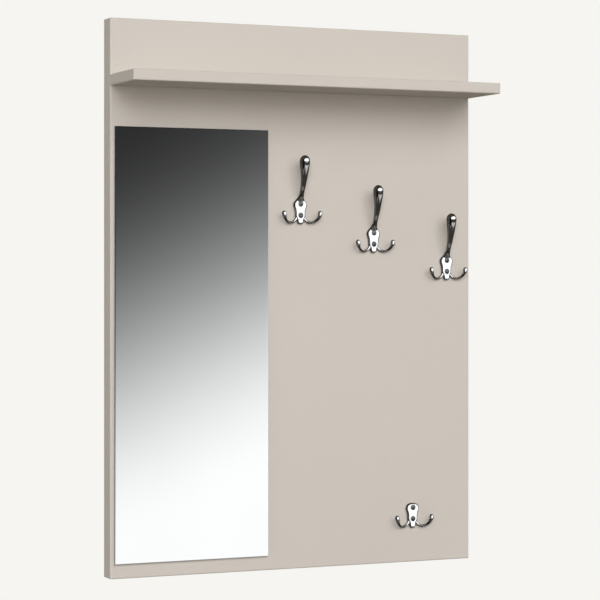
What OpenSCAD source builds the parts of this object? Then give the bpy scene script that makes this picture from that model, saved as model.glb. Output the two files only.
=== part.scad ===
// Hall coat panel for a wall: a thick board with a shelf, a bonded mirror,
// three cast triple hooks stepping down to the right and one cast double hook.
// Millimetres, +Z up, the front faces -Y. The origin is the centre of the back face.

/* [Panel] */
// Width of the panel over its edge bands
panel_w = 650; // [640:5:900]
// Height of the panel over its edge bands
panel_h = 900; // [880:10:1200]
// Thickness of the front board
board_t = 16; // [15:1:25]
// Thickness of the rails and stiles glued behind the front board
rail_t = 16; // [15:1:25]
// Width of the stiles, the middle rail and the bottom rail
rail_w = 60; // [40:5:90]
// Width of the top rail, which backs the hangers and the shelf
top_rail_w = 120; // [115:5:160]
// Thickness of every edge band
band_t = 2; // [1:0.5:3]
// Rounding along the edges of the bands
band_r = 2; // [0.5:0.5:3]

/* [Shelf] */
// Depth of the shelf in front of the panel
shelf_d = 112; // [80:2:200]
// Thickness of the shelf
shelf_t = 18; // [16:1:25]
// Distance from the panel's top edge down to the shelf's top face
shelf_drop = 91; // [85:1:95]
// Length of the screws that hold the shelf
shelf_screw_len = 70; // [60:5:80]
// Shank diameter of the shelf screws
shelf_screw_d = 7; // [5:0.5:8]
// Number of shelf screws
shelf_screw_count = 4; // [2:1:5]
// Distance from the panel's edge to the outer shelf screws
shelf_screw_inset = 50; // [30:5:80]
// Diameter of the dowels between the screws
dowel_d = 8; // [6:1:10]
// Length of the dowels
dowel_len = 40; // [30:5:50]

/* [Mirror] */
// Thickness of the glass
glass_t = 4; // [3:1:6]
// Ground chamfer along the glass's front edges
glass_arris = 0.6; // [0.3:0.1:1]
// Safety film on the back of the glass
film_t = 0.2; // [0.1:0.1:0.5]
// Thickness of the foam tape
tape_t = 1; // [0.5:0.5:2]
// Width of a strip of foam tape
tape_w = 25; // [12:1:30]
// Number of tape strips
tape_count = 4; // [3:1:5]
// Distance from the panel's left edge to the glass
mirror_side_gap = 7; // [3:1:12]
// Distance from the panel's bottom edge to the glass
mirror_bottom_gap = 24; // [10:1:60]
// Distance from the shelf's underside down to the glass
mirror_top_gap = 65; // [20:1:200]
// Width of the board to the right of the glass
hook_zone_w = 377; // [320:1:480]

/* [Hook places] */
// Upper triple hook: distance from the glass to its middle
upper_hook_gap = 58.5; // [45:0.5:80]
// Upper triple hook: distance below the panel's top edge
upper_hook_drop = 304; // [230:1:400]
// Middle triple hook: distance across from the upper hook
middle_hook_step = 135; // [90:1:160]
// Middle triple hook: distance below the panel's top edge
middle_hook_drop = 351; // [230:1:450]
// Lower triple hook: distance from the panel's right edge
lower_hook_inset = 45; // [40:1:60]
// Lower triple hook: distance below the panel's top edge
lower_hook_drop = 397; // [230:1:500]
// Double hook: distance from the panel's right edge
double_hook_inset = 110; // [40:1:240]
// Double hook: distance above the panel's bottom edge
double_hook_rise = 83; // [40:1:150]

/* [Hooks] */
// Distance between the two screws of a hook
hook_screw_pitch = 19; // [17:0.5:21]
// Thickness of the hook's plate
plate_t = 5.5; // [3.5:0.5:7]
// Bevel round the plate's face
plate_bevel = 1.5; // [0.4:0.1:1.8]
// Width of the plate at its shoulders
shoulder_w = 22.4; // [20:0.2:26]
// Width of the plate at its waist
waist_w = 16; // [14:0.2:17]
// Width of the tongue between the prongs
tongue_w = 9; // [8:0.2:10]
// From the middle of the screws down to the tongue's end, on a triple hook
triple_drop = 24; // [22:0.2:27]
// From the middle of the screws down to the tongue's end, on the double hook
double_drop = 25; // [22:0.2:27]
// Rise of the double hook's round top above its upper screw
round_top = 7.6; // [6:0.2:11]
// From the middle of the screws up to the knob's centre
knob_rise = 81; // [70:1:95]
// Reach of the knob's centre from the wall side of the plate
knob_reach = 22; // [16:0.5:30]
// Diameter of the knob on the long arm
knob_d = 17; // [13:0.2:18]
// Width of the long arm at its neck
neck_w = 7.2; // [5:0.2:8]
// Reach of a prong's tip sideways from the middle
prong_reach = 32.6; // [30:0.2:40]
// Reach of a prong's tip from the wall side of the plate
prong_out = 11; // [7:0.5:14]
// Thickness of a prong at its thinnest
prong_d = 4; // [3.4:0.2:5]
// Diameter of a prong's clubbed tip
tip_d = 7.2; // [5:0.2:8]

/* [Screws] */
// Shank diameter of the hook screws
hook_screw_d = 3.5; // [3:0.5:4]
// Length of the hook screws under the head's rim
hook_screw_len = 16; // [14:1:18]
// Head diameter of the hook screws
hook_head_d = 8; // [6.6:0.2:8.4]

/* [Hangers] */
// Distance from the panel's edges in to the keyholes
hanger_inset = 100; // [50:5:200]
// Distance from the panel's top edge down to the keyholes' wide ends
hanger_drop = 56; // [50:1:60]
// Width of a hanger plate
hanger_w = 56; // [50:2:70]
// Height of a hanger plate
hanger_h = 32; // [30:1:40]
// Thickness of a hanger plate
hanger_t = 2; // [1.5:0.5:3]
// Diameter of the keyhole's wide end
keyhole_d = 10; // [9:0.5:11]
// Width of the keyhole's slot
keyhole_slot = 5.2; // [4.6:0.2:6]
// Rise of the slot's end above the wide end
keyhole_rise = 12; // [11:1:14]
// Depth of the pocket behind the keyhole
keyhole_depth = 12; // [8:1:13]

/* [Hidden] */
// Round shapes
$fn = 64;
// Clearance round a screw, dowel or plate let into a board
let_in = 0.1;
// Clearance that keeps cuts open
cut = 0.5;

// Panel: the outer block, its core inside the bands, and the two layers
panel_t = board_t + rail_t;
core_w = panel_w - 2 * band_t;
core_h = panel_h - 2 * band_t;
round_r = min(band_r, band_t);
front_y = -panel_t;
stile_h = core_h - top_rail_w - rail_w;

// Shelf
shelf_z = panel_h / 2 - shelf_drop - shelf_t / 2;
shelf_core_d = shelf_d - band_t;
shelf_screw_span = panel_w - 2 * shelf_screw_inset;
shelf_screw_step = shelf_screw_span / (shelf_screw_count - 1);
shelf_head_d = shelf_screw_d + 3;
dowel_in_panel = board_t - 4;

// Mirror: the glass fills what its gaps, the shelf and the hooks' zone leave
mirror_w = panel_w - mirror_side_gap - hook_zone_w;
mirror_h = panel_h - shelf_drop - shelf_t - mirror_top_gap - mirror_bottom_gap;
mirror_x = -panel_w / 2 + mirror_side_gap + mirror_w / 2;
mirror_z = -panel_h / 2 + mirror_bottom_gap + mirror_h / 2;
tape_margin = 12;
tape_step = (mirror_w - 2 * tape_margin - tape_w) / (tape_count - 1);
film_margin = 1;

// Hooks: where the middle of each pair of screws lies on the panel's front
upper_hook_x = panel_w / 2 - hook_zone_w + upper_hook_gap;
upper_hook_at = [upper_hook_x, panel_h / 2 - upper_hook_drop];
middle_hook_at = [upper_hook_x + middle_hook_step, panel_h / 2 - middle_hook_drop];
lower_hook_at = [panel_w / 2 - lower_hook_inset, panel_h / 2 - lower_hook_drop];
double_hook_at = [panel_w / 2 - double_hook_inset, double_hook_rise - panel_h / 2];
hook_places = [upper_hook_at, middle_hook_at, lower_hook_at, double_hook_at];

// Hook screws
head_rim = 0.3;
head_dome = 0.9;
head_cone = (hook_head_d - hook_screw_d) / 2;
plate_hole_d = hook_screw_d + 0.6;
recess_w = 1;
recess_span = 4.2;
recess_depth = 1.7;

// Hangers
hanger_x = panel_w / 2 - hanger_inset;
hanger_z = panel_h / 2 - hanger_drop;
hanger_corner = 5;
hanger_below = 11;
pocket_w = keyhole_d + 3;
hanger_screw_d = 3.5;
hanger_head_d = 6.4;
hanger_screw_len = 14;
hanger_screw_inset = 7;

// ---------------------------------------------------------------- shared shapes

// A rectangle about the origin with rounded corners
module round_rect(w, h, r) {
    square([w - 2 * r, h], center = true);
    square([w, h - 2 * r], center = true);
    for (sx = [-1, 1], sy = [-1, 1])
        translate([sx * (w / 2 - r), sy * (h / 2 - r)]) circle(r);
}

// A block about the origin, its edges rounded by r
module soft_block(x, y, z, r) {
    intersection() {
        translate([0, 0, -z / 2]) linear_extrude(z) round_rect(x, y, r);
        rotate([90, 0, 0]) translate([0, 0, -y / 2]) linear_extrude(y) round_rect(x, z, r);
        rotate([90, 0, 90]) translate([0, 0, -x / 2]) linear_extrude(x) round_rect(y, z, r);
    }
}

// A box from x, z centre, with its y range given from back to front
module slab(x, z, w, h, back, front) {
    translate([x - w / 2, front, z - h / 2]) cube([w, back - front, h]);
}

// Puts a shape drawn in the XY plane, facing +Z, on the panel's front at place
module on_front(place) {
    translate([place[0], front_y, place[1]]) rotate([90, 0, 0]) children();
}

// Puts a shape drawn in the XY plane, facing +Z, on the panel's back, seen from behind
module on_back(x, z) {
    translate([x, 0, z]) rotate([90, 0, 180]) children();
}

// ---------------------------------------------------------------- smooth curves

// A point between b and c on the smooth curve through a, b, c and d
function curve_at(a, b, c, d, s) =
    0.5 * (2 * b + (c - a) * s + (2 * a - 5 * b + 4 * c - d) * s * s
    + (3 * b - a - 3 * c + d) * s * s * s);

// The smooth curve through all of p, with steps points a span
function curve(p, steps) = [
    for (i = [0:len(p) - 2], j = [0:steps - 1])
        curve_at(p[max(i - 1, 0)], p[i], p[i + 1], p[min(i + 2, len(p) - 1)], j / steps),
    p[len(p) - 1]
];

function unit(v) = v / norm(v);
function xyz(s) = [s[0], s[1], s[2]];
function heading(s, i) = unit(xyz(s[min(i + 1, len(s) - 1)]) - xyz(s[max(i - 1, 0)]));

// One ring of a bar: centre c, heading t, half sizes a in the path's plane and b across it
function bar_ring(c, t, plane, a, b, sides) =
    let (n = unit(cross(plane, t)), m = cross(t, n))
    [for (k = [0:sides - 1]) c + a * cos(360 * k / sides) * n + b * sin(360 * k / sides) * m];

// A bar along stations [x, y, z, half size in the path's plane, half size across it],
// with a round end after the last station
module bar(stations, plane, sides, end_rings) {
    last = len(stations) - 1;
    tip = stations[last];
    tip_t = heading(stations, last);
    tip_r = max(tip[3], tip[4]);
    rings = concat(
        [for (i = [0:last]) bar_ring(xyz(stations[i]), heading(stations, i), plane,
            stations[i][3], stations[i][4], sides)],
        [for (e = [1:end_rings - 1]) let (w = 90 * e / end_rings)
            bar_ring(xyz(tip) + tip_t * tip_r * sin(w), tip_t, plane,
                tip[3] * cos(w), tip[4] * cos(w), sides)]
    );
    points = concat([for (r = rings) each r], [xyz(tip) + tip_t * tip_r]);
    top = len(points) - 1;
    walls = [
        for (i = [0:len(rings) - 2], k = [0:sides - 1])
            let (a = i * sides + k, b = i * sides + (k + 1) % sides)
            each [[a, b, b + sides], [a, b + sides, a + sides]]
    ];
    start_cap = [for (k = [1:sides - 2]) [0, k + 1, k]];
    end_fan = [for (k = [0:sides - 1]) [top - sides + k, top - sides + (k + 1) % sides, top]];
    polyhedron(points, [for (f = concat(walls, start_cap, end_fan)) [f[0], f[2], f[1]]]);
}

// ---------------------------------------------------------------- panel

module panel_block() {
    translate([0, -panel_t / 2, 0]) soft_block(panel_w, panel_t, panel_h, round_r);
}

module panel_core() {
    slab(0, 0, core_w, core_h, cut, front_y - cut);
}

// Where the shelf's screws and dowels lie along its back edge
function shelf_screw_x(i) = -shelf_screw_span / 2 + i * shelf_screw_step;
function dowel_x(i) = shelf_screw_x(i) + shelf_screw_step / 2;

module shelf_screw_cuts() {
    for (i = [0:shelf_screw_count - 1])
        translate([shelf_screw_x(i), 0, shelf_z]) rotate([90, 0, 0]) {
            translate([0, 0, -cut]) cylinder(h = shelf_screw_len + cut, d = shelf_screw_d + 2 * let_in);
            translate([0, 0, -let_in])
                cylinder(h = shelf_head_d / 2 + let_in, d1 = shelf_head_d + 4 * let_in, d2 = 0);
        }
}

module dowel(slack) {
    rotate([90, 0, 0])
        translate([0, 0, panel_t - dowel_in_panel - slack])
            cylinder(h = dowel_len + 2 * slack, d = dowel_d + 2 * slack);
}

module dowels(slack) {
    for (i = [0:shelf_screw_count - 2])
        translate([dowel_x(i), 0, shelf_z]) dowel(slack);
}

module hook_pilots() {
    for (place = hook_places, s = [-1, 1])
        on_front(place + [0, s * hook_screw_pitch / 2])
            translate([0, 0, plate_t - hook_screw_len - let_in])
                cylinder(h = hook_screw_len, d = hook_screw_d + 2 * let_in);
}

module front_board() {
    color([0.80, 0.77, 0.73])
    difference() {
        slab(0, 0, core_w, core_h, -rail_t, front_y);
        shelf_screw_cuts();
        dowels(let_in);
        hook_pilots();
    }
}

module keyhole(wide_d, slot_w, rise, h) {
    cylinder(h = h, d = wide_d);
    translate([-slot_w / 2, 0, 0]) cube([slot_w, rise, h]);
    translate([0, rise, 0]) cylinder(h = h, d = slot_w);
}

module hanger_outline(slack) {
    translate([0, hanger_h / 2 - hanger_below])
        round_rect(hanger_w + 2 * slack, hanger_h + 2 * slack, hanger_corner);
}

// The flush seat of a hanger, the pocket for the wall screw's head, and the two screw holes
module hanger_cuts() {
    for (s = [-1, 1])
        on_back(s * hanger_x, hanger_z) {
            translate([0, 0, -hanger_t]) linear_extrude(hanger_t + cut) hanger_outline(let_in);
            translate([0, 0, -keyhole_depth])
                keyhole(pocket_w, pocket_w, keyhole_rise, keyhole_depth);
            for (t = [-1, 1])
                translate([t * (hanger_w / 2 - hanger_screw_inset), hanger_h / 2 - hanger_below,
                    -hanger_screw_len - let_in])
                    cylinder(h = hanger_screw_len, d = hanger_screw_d + 2 * let_in);
        }
}

module rear_rail_top() {
    color([0.74, 0.71, 0.67])
    difference() {
        slab(0, core_h / 2 - top_rail_w / 2, core_w, top_rail_w, 0, -rail_t);
        shelf_screw_cuts();
        hanger_cuts();
    }
}

module rear_rail_middle() {
    color([0.74, 0.71, 0.67]) slab(0, 0, core_w - 2 * rail_w, rail_w, 0, -rail_t);
}

module rear_rail_bottom() {
    color([0.74, 0.71, 0.67]) slab(0, -core_h / 2 + rail_w / 2, core_w, rail_w, 0, -rail_t);
}

module rear_stile(side) {
    color([0.74, 0.71, 0.67])
        slab(side * (core_w - rail_w) / 2, (rail_w - top_rail_w) / 2, rail_w, stile_h, 0, -rail_t);
}

// Side bands run the full height, and the top and bottom bands fit between them
module edge_band_side(side) {
    color([0.78, 0.75, 0.71])
    difference() {
        intersection() {
            panel_block();
            slab(side * (panel_w - band_t) / 2, 0, band_t, panel_h, 0, front_y);
        }
        panel_core();
    }
}

module edge_band_level(side) {
    color([0.78, 0.75, 0.71])
    intersection() {
        panel_block();
        slab(0, side * (panel_h - band_t) / 2, core_w, band_t, 0, front_y);
    }
}

// ---------------------------------------------------------------- shelf

// The shelf's outer block, run on into the panel so that its back edges stay square
module shelf_block() {
    run_on = 4 * band_t;
    translate([0, front_y - shelf_d / 2 + run_on / 2, shelf_z])
        soft_block(panel_w, shelf_d + run_on, shelf_t, round_r);
}

module shelf_board() {
    color([0.80, 0.77, 0.73])
    difference() {
        slab(0, shelf_z, core_w, shelf_t, front_y, front_y - shelf_core_d);
        shelf_screw_cuts();
        dowels(let_in);
    }
}

// The front band runs the full width, and the end bands stop behind it
module shelf_band_front() {
    color([0.78, 0.75, 0.71])
    intersection() {
        shelf_block();
        slab(0, shelf_z, panel_w, shelf_t, front_y - shelf_core_d, front_y - shelf_d);
    }
}

module shelf_band_end(side) {
    color([0.78, 0.75, 0.71])
    intersection() {
        shelf_block();
        slab(side * (panel_w - band_t) / 2, shelf_z, band_t, shelf_t, front_y,
            front_y - shelf_core_d);
    }
}

// Countersunk screws with a hexagon socket, driven from the back into the shelf
module shelf_screws() {
    point = shelf_screw_d;
    color([0.66, 0.66, 0.64])
    for (i = [0:shelf_screw_count - 1])
        translate([shelf_screw_x(i), 0, shelf_z]) rotate([90, 0, 0])
            difference() {
                rotate_extrude()
                    polygon([
                        [0, 0], [shelf_head_d / 2, 0],
                        [shelf_screw_d / 2, (shelf_head_d - shelf_screw_d) / 2],
                        [shelf_screw_d / 2, shelf_screw_len - point],
                        [shelf_screw_d / 6, shelf_screw_len], [0, shelf_screw_len]
                    ]);
                translate([0, 0, -cut]) cylinder(h = 3 + cut, d = 4.6, $fn = 6);
            }
}

module shelf_dowels() {
    color([0.80, 0.66, 0.46]) dowels(0);
}

// ---------------------------------------------------------------- mirror

module mirror_glass() {
    back = front_y - tape_t - film_t;
    front = back - glass_t;
    a = glass_arris;
    color([0.62, 0.65, 0.67])
    difference() {
        slab(mirror_x, mirror_z, mirror_w, mirror_h, back, front);
        for (s = [-1, 1]) {
            translate([mirror_x + s * mirror_w / 2, front, mirror_z - mirror_h])
                linear_extrude(2 * mirror_h) polygon([[-a, 0], [0, -a], [a, 0], [0, a]]);
            translate([mirror_x - mirror_w, front, mirror_z + s * mirror_h / 2])
                rotate([90, 0, 90])
                    linear_extrude(2 * mirror_w) polygon([[-a, 0], [0, -a], [a, 0], [0, a]]);
        }
    }
}

module mirror_safety_film() {
    color([0.30, 0.31, 0.33])
        slab(mirror_x, mirror_z, mirror_w - 2 * film_margin, mirror_h - 2 * film_margin,
            front_y - tape_t, front_y - tape_t - film_t);
}

module mirror_tape() {
    color([0.92, 0.92, 0.90])
    for (i = [0:tape_count - 1])
        slab(mirror_x - mirror_w / 2 + tape_margin + tape_w / 2 + i * tape_step, mirror_z,
            tape_w, mirror_h - 2 * tape_margin, front_y, front_y - tape_t);
}

// ---------------------------------------------------------------- hooks

// Right half of a triple plate's top: it narrows upwards into the arm's neck
function narrow_top() =
    let (s = shoulder_w / 2, h = hook_screw_pitch / 2)
    [
        [0, h + 15.5], [0.22 * s, h + 15], [0.33 * s, h + 12.4], [0.44 * s, h + 9.6],
        [0.63 * s, h + 6.6], [0.92 * s, h + 2.4], [s, h - 0.6]
    ];

// Right half of the double plate's round top
function arched_top() =
    let (s = shoulder_w / 2, h = hook_screw_pitch / 2)
    [
        [0, h + round_top], [0.42 * s, h + 0.93 * round_top], [0.80 * s, h + 0.62 * round_top],
        [s, h - 0.4]
    ];

// Right half of the plate below its shoulders, down to the tongue's end
function plate_side(drop) =
    let (w = waist_w / 2, t = tongue_w / 2, h = hook_screw_pitch / 2)
    [
        [w + 2.3, h - 5.2], [w + 0.9, 0], [w + 0.1, -4.4], [w, -h],
        [w - 0.9, -h - 2.6], [t + 0.6, -h - 5.0], [t, -h - 7.4], [t - 0.2, -drop + 3.2],
        [0.70 * t, -drop + 0.7], [0, -drop]
    ];

// The whole outline, counted clockwise from the top
function plate_outline(half) =
    let (right = curve(half, 3), n = len(right))
    concat(right, [for (i = [n - 2:-1:1]) [-right[i][0], right[i][1]]]);

// The outline drawn in by d along its own normals
function drawn_in(o, d) =
    let (n = len(o))
    [for (i = [0:n - 1]) let (t = unit(o[(i + 1) % n] - o[(i + n - 1) % n])) o[i] + d * [t[1], -t[0]]];

// A plate of this outline with a bevelled face
module bevelled_plate(outline, h, bevel) {
    n = len(outline);
    inner = drawn_in(outline, bevel);
    points = concat(
        [for (p = outline) [p[0], p[1], 0]],
        [for (p = outline) [p[0], p[1], h - bevel]],
        [for (p = inner) [p[0], p[1], h]]
    );
    walls = [
        for (ring = [0, 1], i = [0:n - 1])
            let (a = ring * n + i, b = ring * n + (i + 1) % n)
            each [[a, b, b + n], [a, b + n, a + n]]
    ];
    polyhedron(points, concat(walls, [[for (i = [n - 1:-1:0]) i]], [[for (i = [0:n - 1]) 2 * n + i]]));
}

// A side prong: a wide root in the plate, a thin bow and a clubbed tip
module prong(side, drop) {
    x = prong_reach;
    r = prong_d / 2;
    d = drop - r;
    mid = plate_t / 2;
    out = prong_out;
    stations = curve([
        [0.13 * x, -0.40 * d, mid, 2.4, 0.7 * r],
        [0.18 * x, -0.60 * d, mid, 1.35 * r, 0.85 * r],
        [0.26 * x, -0.79 * d, mid + 0.1, 1.25 * r, 0.95 * r],
        [0.39 * x, -0.94 * d, mid + 0.5, 1.1 * r, r],
        [0.57 * x, -d, 0.43 * out, r, r],
        [0.765 * x, -0.93 * d, 0.60 * out, r, r],
        [0.91 * x, -0.73 * d, 0.79 * out, 1.2 * r, 1.15 * r],
        [0.98 * x, -0.49 * d, 0.93 * out, 0.88 * tip_d / 2, 0.86 * tip_d / 2],
        [x, -0.30 * d, out, tip_d / 2, tip_d / 2]
    ], 3);
    mirror([side < 0 ? 1 : 0, 0, 0]) bar(stations, [0, 0, 1], 14, 5);
}

// The long arm: it leaves the plate's top, leans out and swells into a round knob
module arm() {
    h = hook_screw_pitch / 2;
    n = neck_w / 2;
    k = knob_d / 2;
    lift = knob_rise;
    out = knob_reach;
    stations = curve([
        [0, h - 2, 0.42 * plate_t, 0.33 * plate_t, 5.2],
        [0, h + 4.4, 0.58 * plate_t, 0.47 * plate_t, 8.6],
        [0, h + 9.5, 0.24 * out, 3.1, 5.6],
        [0, h + 15, 0.38 * out, 3.2, n + 0.2],
        [0, 0.43 * lift, 0.58 * out, 3.4, n + 0.4],
        [0, 0.54 * lift, 0.74 * out, 3.9, n + 1.2],
        [0, 0.66 * lift, 0.87 * out, 4.6, 0.68 * k],
        [0, 0.79 * lift, 0.95 * out, 6.0, 0.83 * k],
        [0, 0.90 * lift, 0.99 * out, 7.5, 0.96 * k],
        [0, lift, out, k, k]
    ], 3);
    bar(stations, [1, 0, 0], 24, 6);
}

module hook_screw_cuts() {
    for (s = [-1, 1])
        translate([0, s * hook_screw_pitch / 2, 0]) {
            translate([0, 0, -cut]) cylinder(h = plate_t + 2 * cut, d = plate_hole_d);
            translate([0, 0, plate_t - head_rim - head_cone - let_in])
                cylinder(h = head_cone, d1 = hook_screw_d, d2 = hook_head_d);
            translate([0, 0, plate_t - head_rim - let_in])
                cylinder(h = head_dome + 4 * cut, d = hook_head_d + 2 * let_in);
        }
}

module triple_hook(place) {
    color([0.72, 0.73, 0.74])
    on_front(place)
        difference() {
            union() {
                bevelled_plate(plate_outline(concat(narrow_top(), plate_side(triple_drop))),
                    plate_t, plate_bevel);
                prong(-1, triple_drop);
                prong(1, triple_drop);
                arm();
            }
            hook_screw_cuts();
        }
}

module double_hook(place) {
    color([0.72, 0.73, 0.74])
    on_front(place)
        difference() {
            union() {
                bevelled_plate(plate_outline(concat(arched_top(), plate_side(double_drop))),
                    plate_t, plate_bevel);
                prong(-1, double_drop);
                prong(1, double_drop);
            }
            hook_screw_cuts();
        }
}

// A countersunk screw with a domed head, its rim level with z = 0, and a cross recess
module domed_screw(head_d, shank_d, len, dome) {
    cone = (head_d - shank_d) / 2;
    dome_r = (head_d * head_d / 4 + dome * dome) / (2 * dome);
    point = shank_d;
    difference() {
        union() {
            rotate_extrude()
                polygon([
                    [0, 0], [head_d / 2, 0], [head_d / 2, -head_rim],
                    [shank_d / 2, -head_rim - cone], [shank_d / 2, -len + point],
                    [shank_d / 8, -len], [0, -len]
                ]);
            intersection() {
                translate([0, 0, dome - dome_r]) sphere(dome_r);
                cylinder(h = dome + cut, d = head_d);
            }
        }
        for (a = [0, 90])
            rotate([0, 0, a + 20])
                translate([-recess_span / 2, -recess_w / 2, dome - recess_depth])
                    cube([recess_span, recess_w, recess_depth + cut]);
    }
}

module hook_screws(place) {
    color([0.36, 0.36, 0.37])
    for (s = [-1, 1])
        on_front(place + [0, s * hook_screw_pitch / 2])
            translate([0, 0, plate_t]) domed_screw(hook_head_d, hook_screw_d, hook_screw_len, head_dome);
}

// ---------------------------------------------------------------- hangers

module hanger_plate(side) {
    color([0.70, 0.70, 0.68])
    on_back(side * hanger_x, hanger_z)
        difference() {
            translate([0, 0, -hanger_t]) linear_extrude(hanger_t) hanger_outline(0);
            translate([0, 0, -hanger_t - cut])
                keyhole(keyhole_d, keyhole_slot, keyhole_rise, hanger_t + 2 * cut);
            for (t = [-1, 1])
                translate([t * (hanger_w / 2 - hanger_screw_inset), hanger_h / 2 - hanger_below, 0]) {
                    translate([0, 0, -hanger_t - cut])
                        cylinder(h = hanger_t + 2 * cut, d = hanger_screw_d + 2 * let_in);
                    translate([0, 0, -hanger_head_d / 2])
                        cylinder(h = hanger_head_d / 2 + let_in, d1 = 0, d2 = hanger_head_d + 2 * let_in);
                }
        }
}

module hanger_screws() {
    color([0.60, 0.60, 0.58])
    for (s = [-1, 1], t = [-1, 1])
        on_back(s * hanger_x, hanger_z)
            translate([t * (hanger_w / 2 - hanger_screw_inset), hanger_h / 2 - hanger_below, 0])
                difference() {
                    rotate_extrude()
                        polygon([
                            [0, 0], [hanger_head_d / 2, 0],
                            [hanger_screw_d / 2, -(hanger_head_d - hanger_screw_d) / 2],
                            [hanger_screw_d / 2, -hanger_screw_len + hanger_screw_d],
                            [hanger_screw_d / 8, -hanger_screw_len], [0, -hanger_screw_len]
                        ]);
                    for (a = [0, 90])
                        rotate([0, 0, a + 45])
                            translate([-1.7, -0.4, -1.2]) cube([3.4, 0.8, 1.2 + cut]);
                }
}

// ---------------------------------------------------------------- nodes

front_board();
rear_rail_top();
rear_rail_middle();
rear_rail_bottom();
rear_stile(-1);  // rear_stile_left
rear_stile(1);  // rear_stile_right
edge_band_side(-1);  // edge_band_left
edge_band_side(1);  // edge_band_right
edge_band_level(1);  // edge_band_top
edge_band_level(-1);  // edge_band_bottom
shelf_board();
shelf_band_front();
shelf_band_end(-1);  // shelf_band_left
shelf_band_end(1);  // shelf_band_right
shelf_screws();
shelf_dowels();
mirror_glass();
mirror_safety_film();
mirror_tape();
triple_hook(upper_hook_at);  // triple_hook_upper
triple_hook(middle_hook_at);  // triple_hook_middle
triple_hook(lower_hook_at);  // triple_hook_lower
double_hook(double_hook_at);
hook_screws(upper_hook_at);  // screws_upper_hook
hook_screws(middle_hook_at);  // screws_middle_hook
hook_screws(lower_hook_at);  // screws_lower_hook
hook_screws(double_hook_at);  // screws_double_hook
hanger_plate(-1);  // hanger_plate_left
hanger_plate(1);  // hanger_plate_right
hanger_screws();
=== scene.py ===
# %% [markdown]
# # A hall coat panel with a mirror and cast hooks
#
# The CAD model already holds every piece at its real size: a board with edge bands, a shelf,
# a bonded mirror, four cast hooks, their screws, and the hangers at the back. This lesson
# gives them their finishes, replaces the hooks by smooth castings, and lights the whole like
# a picture in a furniture catalogue. Lengths are metres, +Z is up, and the front faces -Y.

# %% Load the CAD model
import math

import bmesh
import bpy
from mathutils import Matrix, Vector


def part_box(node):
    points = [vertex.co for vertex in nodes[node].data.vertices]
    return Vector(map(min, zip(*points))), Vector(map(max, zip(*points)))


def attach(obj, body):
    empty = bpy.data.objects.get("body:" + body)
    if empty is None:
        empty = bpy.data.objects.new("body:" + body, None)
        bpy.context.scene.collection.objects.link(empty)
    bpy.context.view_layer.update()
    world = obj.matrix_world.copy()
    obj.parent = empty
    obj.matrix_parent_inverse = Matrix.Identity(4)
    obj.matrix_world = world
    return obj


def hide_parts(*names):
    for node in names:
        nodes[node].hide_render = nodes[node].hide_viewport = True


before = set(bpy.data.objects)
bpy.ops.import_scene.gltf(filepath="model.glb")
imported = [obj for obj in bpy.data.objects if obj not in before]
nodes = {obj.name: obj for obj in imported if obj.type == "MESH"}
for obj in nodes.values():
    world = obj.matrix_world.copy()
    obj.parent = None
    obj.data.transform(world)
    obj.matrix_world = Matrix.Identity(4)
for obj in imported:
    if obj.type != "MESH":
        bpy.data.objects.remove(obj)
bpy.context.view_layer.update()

# %% [markdown]
# ## The camera
#
# The upright edges of the board stay upright in the picture, so the lens looks level and
# stands to the left of the board. A level camera that shows more below the horizon than
# above it has its lens shifted, as on an architect's camera. That is kinder to the object
# than a tilt, which would make the uprights lean.

# %% Place the camera
SENSOR_WIDTH, FOCAL_LENGTH, LENS_SHIFT = 36.0, 130.7, -0.042
LENS_PLACE, LENS_TURN = (-1.4602, -3.3426, 0.0378), -23.907

lens = bpy.data.cameras.new("catalogue_lens")
lens.sensor_width = SENSOR_WIDTH
lens.lens = FOCAL_LENGTH
lens.shift_y = LENS_SHIFT
camera = bpy.data.objects.new("catalogue_camera", lens)
camera.location = LENS_PLACE
camera.rotation_euler = (math.radians(90.0), 0.0, math.radians(LENS_TURN))
bpy.context.scene.collection.objects.link(camera)
bpy.context.scene.camera = camera
print("camera is", round(camera.location.length, 2), "m from the board")

# %% [markdown]
# ## Helpers for materials
#
# Every finish below is a small network of nodes. A few helpers keep the cells short: one
# makes a material with its shader, one adds a node and fills or links its inputs by name,
# and the others are the handful of steps that nearly every finish needs.

# %% Helpers for nodes
def new_finish(name, roughness, metallic=0.0):
    """Returns a new material, its node tree and its shader."""
    finish = bpy.data.materials.new(name)
    finish.use_nodes = True
    shader = finish.node_tree.nodes["Principled BSDF"]
    shader.inputs["Roughness"].default_value = roughness
    shader.inputs["Metallic"].default_value = metallic
    return finish, finish.node_tree, shader


def put(tree, kind, settings=None, **inputs):
    """Adds a node, sets its options, and fills inputs with numbers or other nodes' outputs.

    An input is given by its name with _ for a space, or as i0, i1 and so on by its place.
    """
    made = tree.nodes.new(kind)
    for option, value in (settings or {}).items():
        setattr(made, option, value)
    for name, value in inputs.items():
        key = int(name[1:]) if name[0] == "i" and name[1:].isdigit() else name.replace("_", " ")
        socket = made.inputs[key]
        if isinstance(value, bpy.types.NodeSocket):
            tree.links.new(value, socket)
        else:
            socket.default_value = value
    return made


def blend_colours(tree, share, first, second):
    """A colour between two: share 0 gives the first, and share 1 the second."""
    made = put(tree, "ShaderNodeMix", {"data_type": "RGBA"}, i0=share, i6=first, i7=second)
    return made.outputs[2]


def arithmetic(tree, what, first, second=0.0):
    """One step of arithmetic on numbers."""
    return put(tree, "ShaderNodeMath", {"operation": what}, i0=first, i1=second).outputs[0]


def spread(tree, value, low, high, to_low, to_high, how="LINEAR"):
    """Maps low..high to to_low..to_high and holds the ends."""
    settings = {"interpolation_type": how, "clamp": True}
    limits = {"From_Min": low, "From_Max": high, "To_Min": to_low, "To_Max": to_high}
    return put(tree, "ShaderNodeMapRange", settings, Value=value, **limits).outputs["Result"]


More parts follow.
